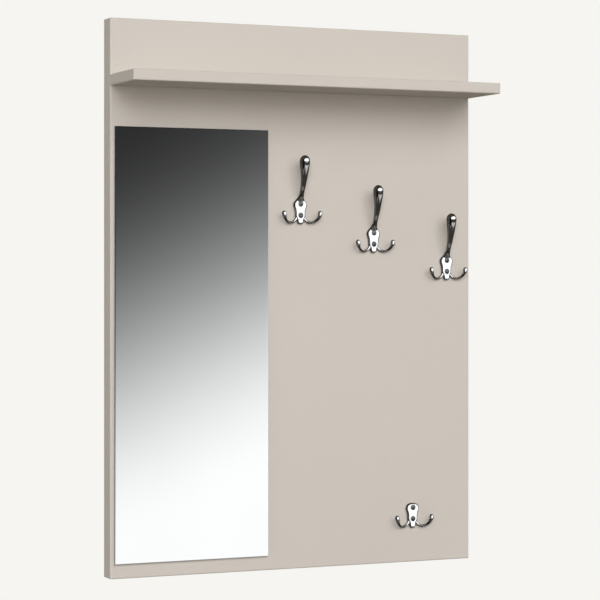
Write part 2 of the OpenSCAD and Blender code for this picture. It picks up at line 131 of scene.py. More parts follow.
def place_of(tree):
    """The point's place on the object, in metres."""
    return put(tree, "ShaderNodeTexCoord").outputs["Object"]


def facing_back(tree):
    """How the surface looks along Y: 1 is straight to the back, and -1 straight to the front."""
    facing = put(tree, "ShaderNodeNewGeometry").outputs["Normal"]
    return put(tree, "ShaderNodeSeparateXYZ", None, Vector=facing).outputs["Y"]


def cloud(tree, place, scale, detail):
    """Soft random patches, scale of them to a metre, as numbers around 0.5."""
    inputs = {"Vector": place, "Scale": scale, "Detail": detail, "Roughness": 0.5}
    return put(tree, "ShaderNodeTexNoise", None, **inputs).outputs["Fac"]


def drift(tree, place, scale, detail, low=0.0, high=1.0, reach=0.2):
    """Soft random patches from low to high. A smaller reach gives them harder edges."""
    return spread(tree, cloud(tree, place, scale, detail), 0.5 - reach, 0.5 + reach, low, high)


def raise_surface(tree, shader, height, strength, distance):
    """Feeds a height to the shader as a bump, distance deep in metres."""
    bump = put(tree, "ShaderNodeBump", None, Height=height, Strength=strength, Distance=distance)
    tree.links.new(bump.outputs["Normal"], shader.inputs["Normal"])


def srgb(red, green, blue):
    """A colour as a paint chart gives it, 0 to 255, turned into the linear values of light."""
    shares = [c / 255 for c in (red, green, blue)]
    return (*[s / 12.92 if s <= 0.04 else ((s + 0.055) / 1.055) ** 2.4 for s in shares], 1.0)


print("helpers are ready")

# %% [markdown]
# ## The board
#
# The board is chipboard under a warm grey melamine foil. Such foil is one even colour, but it
# isn't dead flat: it is pressed against a plate with a very fine grain, so it has a soft
# sheen, and the tone drifts by a hair over the width of the board.

# %% Melamine foil
FOIL = (208, 201, 194)  # red, green and blue of 255


def foil_shade(light, change):
    """The foil's colour, a few levels of 255 lighter or darker."""
    return srgb(*(light * (c + change) for c in FOIL))


def foil_colour(tree, place, light=1.0):
    """The foil's colour with its slow drift and its fine speckle."""
    cool, warm = foil_shade(light, -4), foil_shade(light, 0)
    slow = blend_colours(tree, drift(tree, place, scale=2.2, detail=2.0), cool, warm)
    speckle = drift(tree, place, scale=900.0, detail=2.0, high=0.5, reach=0.15)
    return blend_colours(tree, speckle, slow, foil_shade(light, 2))


def melamine():
    """Foil over chipboard, with a soft sheen."""
    finish, tree, shader = new_finish("warm_grey_melamine", roughness=0.42)
    place = place_of(tree)
    tree.links.new(foil_colour(tree, place), shader.inputs["Base Color"])
    sheen = drift(tree, place, scale=9.0, detail=3.0, low=0.40, high=0.48)
    tree.links.new(sheen, shader.inputs["Roughness"])
    shader.inputs["Specular IOR Level"].default_value = 0.3
    grain = cloud(tree, place, scale=1400.0, detail=2.0)
    raise_surface(tree, shader, grain, strength=0.25, distance=0.00005)
    return finish


board_finish = melamine()
print("made", board_finish.name)

# %% [markdown]
# The edge bands are strips of solid plastic in the same colour. They are extruded and
# trimmed with a scraper, so they are a touch glossier and carry very faint lines along their
# length. The lines run along the board's long edges, which needs no more than a noise that
# is stretched along X and Z.

# %% Edge bands
def plastic_band():
    """Solid plastic with scraper lines along the band."""
    finish, tree, shader = new_finish("edge_band_plastic", roughness=0.36)
    place = place_of(tree)
    tree.links.new(foil_colour(tree, place, 0.995), shader.inputs["Base Color"])
    lines = put(tree, "ShaderNodeMapping", None, Vector=place, Scale=(8.0, 900.0, 8.0)).outputs[0]
    scraped = cloud(tree, lines, scale=1.0, detail=2.0)
    tree.links.new(spread(tree, scraped, 0.3, 0.7, 0.32, 0.42), shader.inputs["Roughness"])
    shader.inputs["Specular IOR Level"].default_value = 0.35
    raise_surface(tree, shader, scraped, strength=0.15, distance=0.00004)
    return finish


band_finish = plastic_band()
print("made", band_finish.name)

# %% [markdown]
# The rails behind the board are offcuts of the same sheet, so they have foil on their backs
# and bare chipboard on their sawn edges. The shader tells the two apart by the way a face
# looks: a face that looks straight back, along +Y, is foil, and every other face is sawn.

# %% Chipboard rails
def chipboard_rail():
    """Foil on the back, and sawn chips of wood on every other face."""
    finish, tree, shader = new_finish("chipboard_rail", roughness=0.6)
    place = place_of(tree)
    chips = put(tree, "ShaderNodeTexVoronoi", None, Vector=place, Scale=420.0)
    tone = put(tree, "ShaderNodeSeparateColor", None, Color=chips.outputs["Color"]).outputs[0]
    dark_chip, pale_chip = srgb(150, 112, 72), srgb(206, 172, 126)
    wood = blend_colours(tree, tone, dark_chip, pale_chip)
    dust = drift(tree, place, scale=160.0, detail=4.0, high=0.6, reach=0.15)
    wood = blend_colours(tree, dust, wood, srgb(186, 152, 108))
    foil = spread(tree, facing_back(tree), 0.80, 0.95, 0.0, 1.0)
    colour = blend_colours(tree, foil, wood, foil_colour(tree, place))
    tree.links.new(colour, shader.inputs["Base Color"])
    tree.links.new(spread(tree, foil, 0.0, 1.0, 0.85, 0.44), shader.inputs["Roughness"])
    pits = arithmetic(tree, "MULTIPLY", tone, arithmetic(tree, "SUBTRACT", 1.0, foil))
    raise_surface(tree, shader, pits, strength=0.5, distance=0.0004)
    return finish


rail_finish = chipboard_rail()
print("made", rail_finish.name)

# %% [markdown]
# ## Dowels, film and tape
#
# These are mostly out of sight, but they are real pieces and get real finishes: beech dowels
# with a fluted grain, the grey woven film that keeps the glass together if it breaks, and
# white foam tape full of tiny cells.

# %% Beech dowels
def beech():
    """Pale wood with its grain along the dowel, which lies along Y."""
    finish, tree, shader = new_finish("beech_dowel", roughness=0.55)
    along = put(tree, "ShaderNodeMapping", None, Vector=place_of(tree), Scale=(900.0, 40.0, 900.0))
    grain = cloud(tree, along.outputs[0], scale=1.0, detail=4.0)
    tone = spread(tree, grain, 0.3, 0.7, 0.0, 1.0)
    colour = blend_colours(tree, tone, srgb(196, 150, 104), srgb(226, 186, 138))
    tree.links.new(colour, shader.inputs["Base Color"])
    raise_surface(tree, shader, grain, strength=0.4, distance=0.0002)
    return finish


dowel_finish = beech()
print("made", dowel_finish.name)


# %% Safety film and foam tape
THREADS = 3000.0


def woven_film():
    """A grey weave: two waves, one across and one down, THREADS radians to a metre."""
    finish, tree, shader = new_finish("woven_safety_film", roughness=0.5)
    axes = put(tree, "ShaderNodeSeparateXYZ", None, Vector=place_of(tree))
    across, down = (
        arithmetic(tree, "SINE", arithmetic(tree, "MULTIPLY", axes.outputs[axis], THREADS))
        for axis in "XZ"
    )
    weave = spread(tree, arithmetic(tree, "MULTIPLY", across, down), -1.0, 1.0, 0.0, 1.0)
    colour = blend_colours(tree, weave, srgb(88, 92, 96), srgb(122, 126, 130))
    tree.links.new(colour, shader.inputs["Base Color"])
    raise_surface(tree, shader, weave, strength=0.4, distance=0.0001)
    return finish


def foam():
    """White foam with fine open cells."""
    finish, tree, shader = new_finish("white_foam_tape", roughness=0.8)
    bubbles = put(tree, "ShaderNodeTexVoronoi", None, Vector=place_of(tree), Scale=1600.0)
    cells = bubbles.outputs["Distance"]
    colour = blend_colours(tree, cells, srgb(236, 236, 232), srgb(206, 206, 202))
    tree.links.new(colour, shader.inputs["Base Color"])
    raise_surface(tree, shader, cells, strength=0.5, distance=0.0003)
    return finish


film_finish, tape_finish = woven_film(), foam()
print("made", film_finish.name, tape_finish.name)

# %% [markdown]
# ## The mirror
#
# A mirror is clear glass with silver on its back. Modelled truly, light would pass through
# four millimetres of glass twice, which costs noise and gains nothing here. The front and
# the ground arris are therefore treated as polished silver, and the sides, where one looks
# into the thickness of the glass, as the dark green of a glass edge. Once more the way a
# face looks tells the shader which is which.

# %% Silvered glass
def silvered_glass():
    """Silver where a face looks to the front, and green glass at the sides."""
    finish, tree, shader = new_finish("silvered_glass", roughness=0.0)
    place = place_of(tree)
    silver = spread(tree, facing_back(tree), -0.60, -0.50, 1.0, 0.0)
    haze = drift(tree, place, scale=5.0, detail=3.0)
    bright = blend_colours(tree, haze, srgb(246, 248, 248), srgb(249, 250, 250))
    ripple = drift(tree, place, scale=260.0, detail=3.0)
    edge = blend_colours(tree, ripple, srgb(70, 82, 78), srgb(104, 118, 112))
    tree.links.new(blend_colours(tree, silver, edge, bright), shader.inputs["Base Color"])
    tree.links.new(silver, shader.inputs["Metallic"])
    tree.links.new(spread(tree, silver, 0.0, 1.0, 0.22, 0.0), shader.inputs["Roughness"])
    return finish


mirror_finish = silvered_glass()
print("made", mirror_finish.name)

# %% [markdown]
# ## Metals
#
# The hooks are zinc castings, polished and chromed. Chrome takes nearly all its look from
# what it reflects, so its own colour is a plain pale grey, and the craft lies in small
# things: the slow waves that polishing leaves in a casting, and a thin haze that varies.
# The castings also carry painted shade: under the two bows and in the crease where the arm
# leaves the plate, their colour is painted darker, and their haze is raised. These could be
# painted by hand. Here they come from an attribute named polish_and_shade, a number on each
# vertex, which the castings get further below. The zinc of the hangers and wood screws is so
# dull that it scatters light much as paint does, so it is only half metal.

# %% Chrome and steel
# The haze below is roughness. It goes with the shade that is painted under the bows and in the
# arm's crease.
UNBUFFED_HAZE = 0.22  # how much rougher a casting is where the wheel doesn't reach


def metal(name, tones, haze, waves, painted_shade_colour=None, share=1.0):
    """A metal whose colour and haze drift between two values, with slow waves on its surface.

    tones are its darkest and palest colour, haze its lowest and highest roughness, and waves
    how many there are to a metre and how deep they are. painted_shade_colour is the painted
    shade: the darker colour where the polish_and_shade attribute is 0. share is how much of
    it is metal.
    """
    finish, tree, shader = new_finish(name, haze[0], share)
    place = place_of(tree)
    wave_scale, wave_depth = waves
    tone = drift(tree, place, scale=0.6 * wave_scale, detail=3.0)
    colour = blend_colours(tree, tone, *tones)
    hazy = drift(tree, place, scale=2.5 * wave_scale, detail=4.0, low=haze[0], high=haze[1])
    if painted_shade_colour:
        # Painted shade: where polish_and_shade is 0 the colour turns to the darker
        # painted_shade_colour, and the haze rises.
        polish_and_shade = put(tree, "ShaderNodeAttribute", {"attribute_name": "polish_and_shade"}).outputs["Fac"]
        colour = blend_colours(tree, polish_and_shade, painted_shade_colour, colour)
        hazy = arithmetic(tree, "ADD", hazy, spread(tree, polish_and_shade, 0.0, 1.0, UNBUFFED_HAZE, 0.0))
    tree.links.new(colour, shader.inputs["Base Color"])
    tree.links.new(hazy, shader.inputs["Roughness"])
    waves_height = cloud(tree, place, wave_scale, detail=2.0)
    raise_surface(tree, shader, waves_height, strength=0.5, distance=wave_depth)
    return finish


CHROME = {
    "tones": (srgb(206, 207, 209), srgb(224, 225, 226)), "haze": (0.03, 0.07),
    "waves": (180.0, 0.00004),
}
chrome_finish = metal("polished_chrome", **CHROME)
# The darker grey on the castings is painted shade, under the bows and in the arm's crease.
casting_finish = metal("casting_with_painted_shade", **CHROME, painted_shade_colour=srgb(122, 118, 114))
screw_finish = metal(
    "dark_screw_steel", tones=(srgb(72, 73, 76), srgb(120, 121, 124)),
    haze=(0.20, 0.30), waves=(500.0, 0.00004),
)
zinc_finish = metal(
    "zinc_plated_steel", tones=(srgb(176, 178, 174), srgb(206, 208, 204)),
    haze=(0.28, 0.42), waves=(400.0, 0.00006), share=0.5,
)
hanger_finish = metal(
    "galvanised_plate", tones=(srgb(168, 170, 170), srgb(200, 202, 202)),
    haze=(0.30, 0.46), waves=(220.0, 0.00005), share=0.5,
)
for finish in (chrome_finish, casting_finish, screw_finish, zinc_finish, hanger_finish):
    print("made", finish.name)

# %% [markdown]
# ## Dress the CAD pieces
#
# The CAD pieces keep their shapes. Each one only gets its finish, by a table from the words
# in its name, so that no piece is forgotten. They are also hidden from shiny surfaces.
# Chrome that hangs on a large pale board mirrors that board and turns a flat pale grey,
# where the catalogue's hooks are crisp black and white. A photographer puts black cards
# between the two, and this switch does the same. The mirror shows a clean gradient for the
# same reason.

# %% Give every CAD piece its finish
finishes = {
    "front_board": board_finish, "shelf_board": board_finish,
    "rear_": rail_finish, "edge_band": band_finish, "shelf_band": band_finish,
    "shelf_dowels": dowel_finish, "shelf_screws": zinc_finish,
    "mirror_glass": mirror_finish, "mirror_safety_film": film_finish, "mirror_tape": tape_finish,
    "triple_hook": chrome_finish, "double_hook": chrome_finish, "screws_": screw_finish,
    "hanger_plate": hanger_finish, "hanger_screws": zinc_finish,
}
for name, piece in nodes.items():
    finish = next(finishes[start] for start in finishes if name.startswith(start))
    piece.data.materials.clear()
    piece.data.materials.append(finish)
    piece.visible_glossy = False
print("finished", len(nodes), "CAD pieces")

# %% [markdown]
# ## Smooth castings
#
# The CAD hooks are cut from flat facets, which is right for measuring but shows in chrome.
# Here the same forms are drawn again with many more faces and melted into one skin. Each
# limb is a ring that is extruded from station to station along a smooth curve, and the
# plate is an outline that is extruded and bevelled. The numbers are millimetres, with X
# across, Y up and Z out of the board. They start from the CAD model's sizes. A few were
# then fitted to the photograph: the bevel is a little wider, the rods are slimmer and sit a
# millimetre higher, and the plate and its tongue are fuller. The melt and its smoothing
# round every edge, as buffing does, and the wider bevel makes up for that.

# %% Sizes of the hooks
# Heights count from midway between the screws, and depths from the board.
SCREW_PITCH = 19.0
HALF_PITCH = SCREW_PITCH / 2
HEAD, HOLE = 8.0, 4.6  # the screw's head, and the hole for its shank
PLATE, BEVEL = 5.5, 1.9  # the plate's thickness, and its bevel's width
SHOULDER, WAIST, TONGUE = 23.4, 17.8, 11.4  # the plate's widths, from the top down
TRIPLE_DROP, DOUBLE_DROP = 24.0, 25.0  # how low the tongues' tips are
ROUND_TOP = 7.6  # the double hook's arch above its upper screw
KNOB_RISE, KNOB_REACH = 81.0, 22.0  # the knob's middle
KNOB, NECK = 17.0, 7.2  # the knob's width, and the arm's where it is thinnest
PRONG_REACH, PRONG_OUT = 32.6, 11.0  # the middle of a club
PRONG, TIP = 3.6, 7.2  # the rod's thickness, and the club's
PRONG_LIFT = 1.0  # how much the prongs are raised over the CAD's
print("a triple hook's height:", KNOB_RISE + KNOB / 2 + TRIPLE_DROP, "mm")


# %% A smooth curve through chosen points
def curve_at(a, b, c, d, s):
    """A point between b and c on the smooth curve through a, b, c and d."""
    square, cube = 2 * a - 5 * b + 4 * c - d, 3 * b - a - 3 * c + d
    return 0.5 * (2 * b + (c - a) * s + square * s * s + cube * s * s * s)


def curve(points, steps):
    """The smooth curve through all of the points, with this many steps a span."""
    p = [Vector(q) for q in points]
    last = len(p) - 1
    inner = [
        curve_at(p[max(i - 1, 0)], p[i], p[i + 1], p[min(i + 2, last)], j / steps)
        for i in range(last) for j in range(steps)
    ]
    return inner + [p[last]]


# %% [markdown]
# A limb starts as one round face. At each station the face is extruded and the new ring is
# carried to its place by one matrix, which turns it square to the path and gives it its
# width. After the last station a few shrinking rings close the end like a ball.

# %% Draw a limb
def station_frame(stations, i, plane):
    """The matrix that carries a unit circle to station i.

    A station is x, y, z, the half size within the plane in which the limb bends, and the
    half size square to that plane. plane is that plane's normal.
    """
    here, last = stations[i], len(stations) - 1
    along = Vector(stations[min(i + 1, last)][:3]) - Vector(stations[max(i - 1, 0)][:3])
    along.normalize()
    first = plane.cross(along).normalized()
    second = along.cross(first)
    turn = Matrix((first * here[3], second * here[4], along)).transposed().to_4x4()
    return Matrix.Translation(Vector(here[:3])) @ turn


LIMB_STEPS, END_RINGS = 6, 12


def draw_limb(mesh, points, plane, side=1, sides=40, dome=1.0):
    """Extrudes a ring along the smooth curve through the points and rounds its end.

    side -1 gives the mirror image, and dome is the end's height as a share of its radius.
    """
    stations = curve(points, LIMB_STEPS)
    frames = [station_frame(stations, i, plane) for i in range(len(stations))]
    radius = max(stations[-1][3], stations[-1][4])
    for e in range(1, END_RINGS):
        angle = math.radians(90 * e / END_RINGS)
        bulge = Matrix.Translation((0, 0, dome * radius * math.sin(angle)))
        shrink = Matrix.Diagonal((math.cos(angle), math.cos(angle), 1, 1))
        frames.append(frames[len(stations) - 1] @ bulge @ shrink)
    if side < 0:
        flip = Matrix.Diagonal((-1, 1, 1, 1))
        frames = [flip @ f for f in frames]
    ring = bmesh.ops.create_circle(
        mesh, cap_ends=True, radius=1.0, segments=sides, matrix=frames[0]
    )
    cap = ring["verts"][0].link_faces[0]
    for before, after in zip(frames, frames[1:]):
        grown = bmesh.ops.extrude_face_region(mesh, geom=[cap])["geom"]
        cap = next(g for g in grown if isinstance(g, bmesh.types.BMFace))
        moved = [g for g in grown if isinstance(g, bmesh.types.BMVert)]
        bmesh.ops.transform(mesh, matrix=after @ before.inverted(), verts=moved)


# %% Draw a plate
OUTLINE_STEPS = 8


def draw_plate(mesh, half):
    """Extrudes an outline, given as its right half from the top down, and bevels its face."""
    right = curve([(x, y, 0.0) for x, y in half], OUTLINE_STEPS)
    left = [Vector((-p.x, p.y, 0.0)) for p in reversed(right[1:-1])]
    rim = [mesh.verts.new(p) for p in right + left]
    grown = bmesh.ops.extrude_face_region(mesh, geom=[mesh.faces.new(rim)])["geom"]
    moved = [g for g in grown if isinstance(g, bmesh.types.BMVert)]
    bmesh.ops.translate(mesh, vec=(0, 0, PLATE), verts=moved)
    top = next(g for g in grown if isinstance(g, bmesh.types.BMFace))
    bmesh.ops.bevel(
        mesh, geom=list(top.edges), offset=BEVEL, segments=1, profile=0.5, affect="EDGES",
        material=-1,
    )


print("tools for limbs and plates are ready")


# %% [markdown]
# The forms themselves are short lists. A prong leaves the plate thick and rounded, bows
# outwards as a thin rod and ends in a small club. The club stands upright, so its front
# catches one bright stripe. The long arm leaves the plate's top, leans away from the wall
# and swells into its knob, which is a shade longer than round.

# %% The plate's outlines
def plate_side(drop):
    """Right half of the plate below its shoulders, down to the tongue's tip at -drop."""
    w, t, h = WAIST / 2, TONGUE / 2, HALF_PITCH
    return [
        (w + 2.3, h - 5.2), (w + 0.9, 0.0), (w + 0.1, -4.4), (w, -h), (w - 0.4, -h - 2.8),
        (t + 1.2, -h - 5.4), (t + 0.2, -h - 8.0), (t - 0.3, -drop + 3.6),
        (0.72 * t, -drop + 0.8), (0.0, -drop),
    ]


s, h = SHOULDER / 2, HALF_PITCH
narrow_top = [
    (0.0, h + 14.8), (0.12 * s, h + 14.0), (0.22 * s, h + 12.2), (0.37 * s, h + 9.7),
    (0.62 * s, h + 6.7), (0.92 * s, h + 2.4), (s, h - 0.6),
]
arched_top = [
    (0.0, h + ROUND_TOP), (0.42 * s, h + 0.93 * ROUND_TOP), (0.80 * s, h + 0.62 * ROUND_TOP),
    (s, h - 0.4),
]
print("points in the plates' tops:", len(narrow_top), "and", len(arched_top))


# %% The prongs and the long arm
def prong_stations(drop):
    """The right prong's stations, from the plate to the club."""
    x, r, club = PRONG_REACH, PRONG / 2, TIP / 2
    d, up = drop - r, PRONG_LIFT
    mid, out = PLATE / 2, PRONG_OUT
    return [
        (0.13 * x, up - 0.40 * d, mid, 2.6, 1.1 * r),
        (0.18 * x, up - 0.60 * d, mid, 1.5 * r, 1.1 * r),
        (0.26 * x, up - 0.79 * d, mid + 0.1, 1.3 * r, 1.05 * r),
        (0.39 * x, up - 0.94 * d, mid + 0.5, 1.1 * r, r),
        (0.57 * x, up - d, 0.40 * out, r, r),
        (0.76 * x, up - 0.93 * d, 0.59 * out, 1.05 * r, r),
        (0.90 * x, up - 0.73 * d, 0.85 * out, 1.25 * r, 1.2 * r),
        (0.98 * x, up - 0.49 * d, out, 0.93 * club, 0.93 * club),
        (x, up - 0.30 * d, out, club, club),
    ]


n, k, lift, reach = NECK / 2, KNOB / 2, KNOB_RISE, KNOB_REACH
arm_stations = [
    (0.0, h - 1.2, 0.42 * PLATE, 0.33 * PLATE, 5.2),
    (0.0, h + 4.6, 0.59 * PLATE, 0.47 * PLATE, 8.2),
    (0.0, h + 9.7, 0.29 * reach, 3.0, 4.7), (0.0, h + 15.0, 0.41 * reach, 3.2, n + 0.1),
    (0.0, 0.39 * lift, 0.52 * reach, 3.3, n + 0.3), (0.0, 0.51 * lift, 0.71 * reach, 3.8, n + 1.0),
    (0.0, 0.66 * lift, 0.87 * reach, 4.6, 0.68 * k),
    (0.0, 0.79 * lift, 0.95 * reach, 6.0, 0.83 * k),
    (0.0, 0.90 * lift, 0.99 * reach, 7.5, 0.96 * k), (0.0, lift - 1.0, reach, k, k),
]
print("stations of the arm:", len(arm_stations), "of a prong:", len(prong_stations(TRIPLE_DROP)))

# %% [markdown]
# Plate, prongs and arm still are separate shells that pass through each other. A voxel
# remesh melts them into one closed skin, as the molten zinc does in its mould, and a few
# rounds of smoothing turn the sharp inner corners into the small fillets of a casting.
# Both the remesh and the cut for the screws are modifiers, so one helper runs either.

# %% Run one modifier
def finished_mesh(mesh_data, name, modifier, **settings):
    """Runs one modifier on a mesh and returns the result as a mesh of its own."""
    carrier = bpy.data.objects.new(name, mesh_data)
    bpy.context.scene.collection.objects.link(carrier)
    step = carrier.modifiers.new("step", modifier)
    for option, value in settings.items():
        setattr(step, option, value)
    bpy.context.view_layer.update()
    graph = bpy.context.evaluated_depsgraph_get()
    result = bpy.data.meshes.new_from_object(carrier.evaluated_get(graph))
    bpy.data.objects.remove(carrier)
    return result


# %% [markdown]
# Each hook is held by two countersunk screws, so the casting needs two real holes. Without
# them the metal would show through the cross recess of the screw. The hole's profile is
# spun round its axis, all the way to the back, and then cut out of the skin.

# %% Spin the seats of the screws
SEAT_ROOM, SEAT_RIM = 0.12, 0.55  # room around the head, and the small chamfer's width
SEAT_PAST, CUTTER_PAST = 0.02, 1.0  # how far the chamfer and the cutter pass the metal


def screw_seats():
    """The two holes for the screws, each a profile that is spun round its axis."""
    hole, seat_edge = HOLE / 2, HEAD / 2 + SEAT_ROOM
    face, rim_low = PLATE + SEAT_PAST, PLATE - SEAT_RIM
    profile = [
        (0.0, -CUTTER_PAST), (hole, -CUTTER_PAST), (hole, rim_low - HEAD / 2 + hole),
        (seat_edge, rim_low), (seat_edge + SEAT_RIM, face),
        (seat_edge + SEAT_RIM, PLATE + 2 * CUTTER_PAST), (0.0, PLATE + 2 * CUTTER_PAST),
    ]
    seat = bmesh.new()
    for side in (-1, 1):
        middle = Vector((0.0, side * HALF_PITCH, 0.0))
        rim_points = [seat.verts.new(middle + Vector((x, 0.0, z))) for x, z in profile]
        edges = [seat.edges.new(pair) for pair in zip(rim_points, rim_points[1:])]
        bmesh.ops.spin(
            seat, geom=rim_points + edges, cent=middle, axis=(0, 0, 1), angle=math.tau,
            steps=64, use_merge=True,
        )
    bmesh.ops.remove_doubles(seat, verts=seat.verts, dist=0.0001)
    bmesh.ops.recalc_face_normals(seat, faces=seat.faces)
    shape = bpy.data.meshes.new("seats")
    seat.to_mesh(shape)
    seat.free()
    return shape


seats_shape = screw_seats()
print("faces of the two seats:", len(seats_shape.polygons))

# %% [markdown]
# Shade is painted onto the castings through an attribute: the underside of the two bows
# and the crease where the arm leaves the plate get a darker colour and more haze. The
# attribute fades between the two, so that no edge shows.

# %% Note where shade is painted
PRONGS_START, PRONGS_FADE = 10.5, 3.0  # millimetres from the middle
BOW_START, BOW_FADE = 0.50, 0.14  # shares of the tongue's drop
CREASE_HEIGHT, CREASE_FADE, CREASE_STRENGTH = 24.0, 4.0, 1.5  # millimetres, and a factor


def held(value):
    """The value, held between 0 and 1."""
    return min(max(value, 0.0), 1.0)


def note_painted_shade(skin, drop):
    """Writes to each vertex 0 to 1, where 0 is the painted shade under the bows and in the crease.
    """
    polish_and_shade = skin.attributes.new("polish_and_shade", "FLOAT", "POINT")
    for vertex in skin.vertices:
        out = held((abs(vertex.co.x) - PRONGS_START) / PRONGS_FADE)
        low = held((-vertex.co.y / drop - BOW_START) / BOW_FADE)
        crease = held(CREASE_STRENGTH * (1.0 - abs(vertex.co.y - CREASE_HEIGHT) / CREASE_FADE))
        # 0 paints shade: a darker colour, and more haze.
        polish_and_shade.data[vertex.index].value = 1.0 - max(out * low, crease)


# %% Melt the shells into one casting
VOXEL, ROUNDS = 0.36, 5  # the skin's cell size in millimetres, and the rounds of smoothing


def cast(name, outline, drop, arm=None):
    """One hook in millimetres, with its origin midway between the screws, at the board."""
    blank = bmesh.new()
    draw_plate(blank, outline + plate_side(drop))
    for side in (-1, 1):
        draw_limb(blank, prong_stations(drop), Vector((0, 0, 1)), side, sides=28)
    if arm:
        draw_limb(blank, arm, Vector((1, 0, 0)), dome=1.12)
    bmesh.ops.recalc_face_normals(blank, faces=blank.faces)
    shells = bpy.data.meshes.new(name + "_shells")
    blank.to_mesh(shells)
    blank.free()
    skin = finished_mesh(shells, name + "_blank", "REMESH", mode="VOXEL", voxel_size=VOXEL)
    soft = bmesh.new()
    soft.from_mesh(skin)
    for _ in range(ROUNDS):
        bmesh.ops.smooth_vert(
            soft, verts=soft.verts, factor=0.5, use_axis_x=True, use_axis_y=True, use_axis_z=True
        )
    soft.to_mesh(skin)
    soft.free()
    seats = bpy.data.objects.new(name + "_seats", seats_shape)
    bpy.context.scene.collection.objects.link(seats)
    skin = finished_mesh(
        skin, name + "_skin", "BOOLEAN", object=seats, operation="DIFFERENCE", solver="EXACT"
    )
    bpy.data.objects.remove(seats)
    skin.name = name
    note_painted_shade(skin, drop)
    return skin


triple_casting = cast("triple_casting", narrow_top, TRIPLE_DROP, arm_stations)
double_casting = cast("double_casting", arched_top, DOUBLE_DROP)
print("faces:", len(triple_casting.polygons), "and", len(double_casting.polygons))

# %% [markdown]
# Each casting is then copied to the places of its CAD nodes. The place is read from the
# node's own box, so the castings can't drift away from the CAD model. The mesh itself is
# moved, because a finished piece keeps its object at the origin.

# %% Hang the castings on the board
def hang(casting, name, node):
    """Puts a copy of a casting where a CAD hook is, and lets it stand for that hook."""
    low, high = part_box(node)
    middle = (low.x + high.x) / 2
    drop = -min(v.co.y for v in casting.vertices)
    copy = casting.copy()
    upright = Matrix.Rotation(math.radians(90), 4, "X") @ Matrix.Scale(0.001, 4)
    copy.transform(Matrix.Translation((middle, high.y, low.z + drop / 1000)) @ upright)
    copy.shade_smooth()
    piece = bpy.data.objects.new(name, copy)
    bpy.context.scene.collection.objects.link(piece)
    piece.data.materials.append(casting_finish)
    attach(piece, "root")
    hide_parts(node)
    made = []
    for axis in range(3):
        reached = [v.co[axis] for v in copy.vertices]
        made.append(max(reached) - min(reached))
    wanted = high - low
    print(name, [round(1000 * m, 2) for m in made], "CAD", [round(1000 * w, 2) for w in wanted])


hang(triple_casting, "casting_upper", "triple_hook_upper")
hang(triple_casting, "casting_middle", "triple_hook_middle")
hang(triple_casting, "casting_lower", "triple_hook_lower")
hang(double_casting, "casting_double", "double_hook")

# %% [markdown]
# ## Floor
#
# The floor lies well below the board, as under a panel on a wall, and is plain and pale. It
# fades out at its rim, so no edge shows. The lamps graze a floor and would leave it grey, so
# it glows a little, but only for the camera. Otherwise it would light the object from
# below. Chrome and mirror don't see it, because the room that they reflect is painted in
# the world below.

# %% Lay the floor
PAPER = srgb(246, 245, 241)
FLOOR_HEIGHT, FLOOR_RADIUS, FLOOR_GLOW = -1.05, 3.3, 0.34
FADE_START, FADE_END = 1.6, 3.2  # metres from the floor's middle


def make_floor():
    """A pale disc that glows a little for the camera and fades out at its rim."""
    disc = bmesh.new()
    bmesh.ops.create_circle(disc, cap_ends=True, radius=FLOOR_RADIUS, segments=96)
    shape = bpy.data.meshes.new("floor")
    disc.to_mesh(shape)
    disc.free()
    finish, tree, shader = new_finish("pale_floor", roughness=0.7)
    shader.inputs["Base Color"].default_value = srgb(238, 237, 233)
    shader.inputs["Emission Color"].default_value = PAPER
    seen = put(tree, "ShaderNodeLightPath").outputs["Is Camera Ray"]
    glow = arithmetic(tree, "MULTIPLY", seen, FLOOR_GLOW)
    tree.links.new(glow, shader.inputs["Emission Strength"])
    away = put(tree, "ShaderNodeVectorMath", {"operation": "LENGTH"}, i0=place_of(tree))
    away = away.outputs["Value"]
    solid = spread(tree, away, FADE_START, FADE_END, 1.0, 0.0, "SMOOTHSTEP")
    tree.links.new(solid, shader.inputs["Alpha"])
    shape.materials.append(finish)
    piece = bpy.data.objects.new("floor", shape)
    piece.location = (0.0, 0.0, FLOOR_HEIGHT)
    piece.visible_glossy = False
    piece.visible_diffuse = False
    bpy.context.scene.collection.objects.link(piece)
    return piece


floor = make_floor()
print("floor at", floor.location.z, "m")

# %% [markdown]
# ## Two rooms to reflect
#
# Mirror and chrome are only as good as what they reflect. A product photographer sets one
# screen for the glass and other screens for the metal, and here the world does the same.
# A flawless mirror sends a singular ray, which Light Path can tell from the slightly spread
# rays of polished metal. The room is painted by direction: the turn to the right of the
# front, and the height above the horizon, both in degrees. Foil and wood don't see it: they
# get an even soft light, which is stronger from straight below, as from a pale floor. That
# lifts the underside of the shelf and hardly touches the upright board.

# %% Directions in the room
world = bpy.data.worlds.new("studio")
bpy.context.scene.world = world
world.use_nodes = True
room = world.node_tree
WAY = put(room, "ShaderNodeTexCoord").outputs["Generated"]
parts_of_way = put(room, "ShaderNodeSeparateXYZ", None, Vector=WAY).outputs
towards_front = arithmetic(room, "MULTIPLY", parts_of_way["Y"], -1.0)
TURN = arithmetic(room, "DEGREES", arithmetic(room, "ARCTAN2", parts_of_way["X"], towards_front))
HEIGHT = arithmetic(room, "DEGREES", arithmetic(room, "ARCSINE", parts_of_way["Z"]))


def along_way(x, y):
    """How far the way runs along a level direction."""
    settings = {"operation": "DOT_PRODUCT"}
    return put(room, "ShaderNodeVectorMath", settings, i0=WAY, i1=(x, y, 0.0)).outputs["Value"]


def soft_step(value, low, high, to_low, to_high):
    """A soft step in the room."""
    return spread(room, value, low, high, to_low, to_high, "SMOOTHSTEP")


